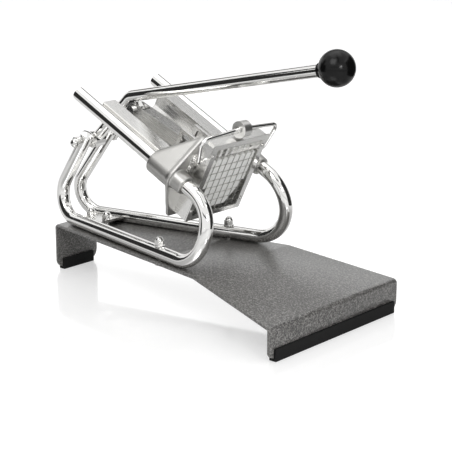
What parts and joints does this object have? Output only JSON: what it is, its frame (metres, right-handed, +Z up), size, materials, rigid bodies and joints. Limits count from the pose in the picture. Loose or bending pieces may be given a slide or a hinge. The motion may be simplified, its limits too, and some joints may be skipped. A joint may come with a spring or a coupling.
{
  "type": "french fry cutter",
  "caption": "Hand lever french fry cutter: bent tube frame on a folded sheet stand, inclined trough, cast head with a wire-clamped blade cassette, fingered pusher and ball-knobbed lever.",
  "frame": {"origin": "centre of the whole part's box in plan, on the floor plane under the rubber edging", "axes": "+X forward, the way the fries come out; +Y to the left seen from behind the machine; +Z up"},
  "size_m": [0.438, 0.2284, 0.3121],
  "materials": {
    "hammered_paint": "textured",
    "rubber_edging": "matte",
    "polished_steel": "polished",
    "sheet_steel": "satin",
    "cast_alloy": "cast, smooth",
    "plated_fastener": "bright",
    "blade_steel": "ground",
    "black_knob": "gloss",
    "light_plastic": "satin"
  },
  "bodies": {
    "frame": {"stand": "hammered_paint", "front_foot": "rubber_edging", "rear_foot": "rubber_edging", "near_frame_tube": "polished_steel", "far_frame_tube": "polished_steel", "rail_end_plugs": "polished_steel", "upright_end_plugs": "polished_steel", "base_studs": "plated_fastener", "base_dome_nuts": "plated_fastener", "rear_strap": "sheet_steel", "rear_strap_screws": "plated_fastener", "pivot_bolt": "plated_fastener", "pivot_dome_nut": "plated_fastener", "pivot_spacers": "plated_fastener", "trough": "sheet_steel", "head_casting": "cast_alloy", "head_set_screws": "plated_fastener", "cassette_holder": "sheet_steel", "holder_screws": "plated_fastener", "cassette_frame": "sheet_steel", "cassette_lip": "sheet_steel", "upright_blades": "blade_steel", "level_blades": "blade_steel", "blade_pins": "plated_fastener", "bail_bushes": "plated_fastener"},
    "lever": {"lever_bar": "polished_steel", "lever_lug": "polished_steel", "ball_knob": "black_knob", "ball_stud": "plated_fastener"},
    "link": {"link_channel": "sheet_steel", "link_bolt": "plated_fastener", "link_dome_nut": "plated_fastener", "link_cross_pin": "plated_fastener"},
    "pusher": {"pusher_fingers": "light_plastic", "pusher_back": "sheet_steel", "pusher_screws": "plated_fastener"},
    "bail": {"bail_wire": "polished_steel", "roller_collars": "plated_fastener"},
    "roller": {"bail_roller": "cast_alloy"}
  },
  "joints": [
    {"name": "lever_hinge", "type": "hinge", "parent": "frame", "child": "lever", "pos_m": [-0.16534, 0, 0.1677], "axis": [0, 1, 0], "range_deg": [-75, 0]},
    {"name": "link_hinge", "type": "hinge", "parent": "lever", "child": "link", "pos_m": [-0.09396, 0, 0.21253], "axis": [0, 1, 0], "range_deg": [0, 75]},
    {"name": "pusher_slide", "type": "slide", "parent": "frame", "child": "pusher", "axis": [0.8957, 0, -0.4446], "range_m": [-0.1025, 0]},
    {"name": "bail_hinge", "type": "hinge", "parent": "frame", "child": "bail", "pos_m": [0.05423, 0, 0.1791], "axis": [0, 1, 0], "range_deg": [0, 95]},
    {"name": "roller_spin", "type": "hinge", "parent": "bail", "child": "roller", "pos_m": [0.06995, 0, 0.21076], "axis": [0, 1, 0], "continuous": true}
  ],
  "couplings": [
    {"joint": "link_hinge", "follows": "lever_hinge", "ratio": -1},
    {"joint": "pusher_slide", "follows": "lever_hinge", "m_per_rad": 0.0782}
  ]
}
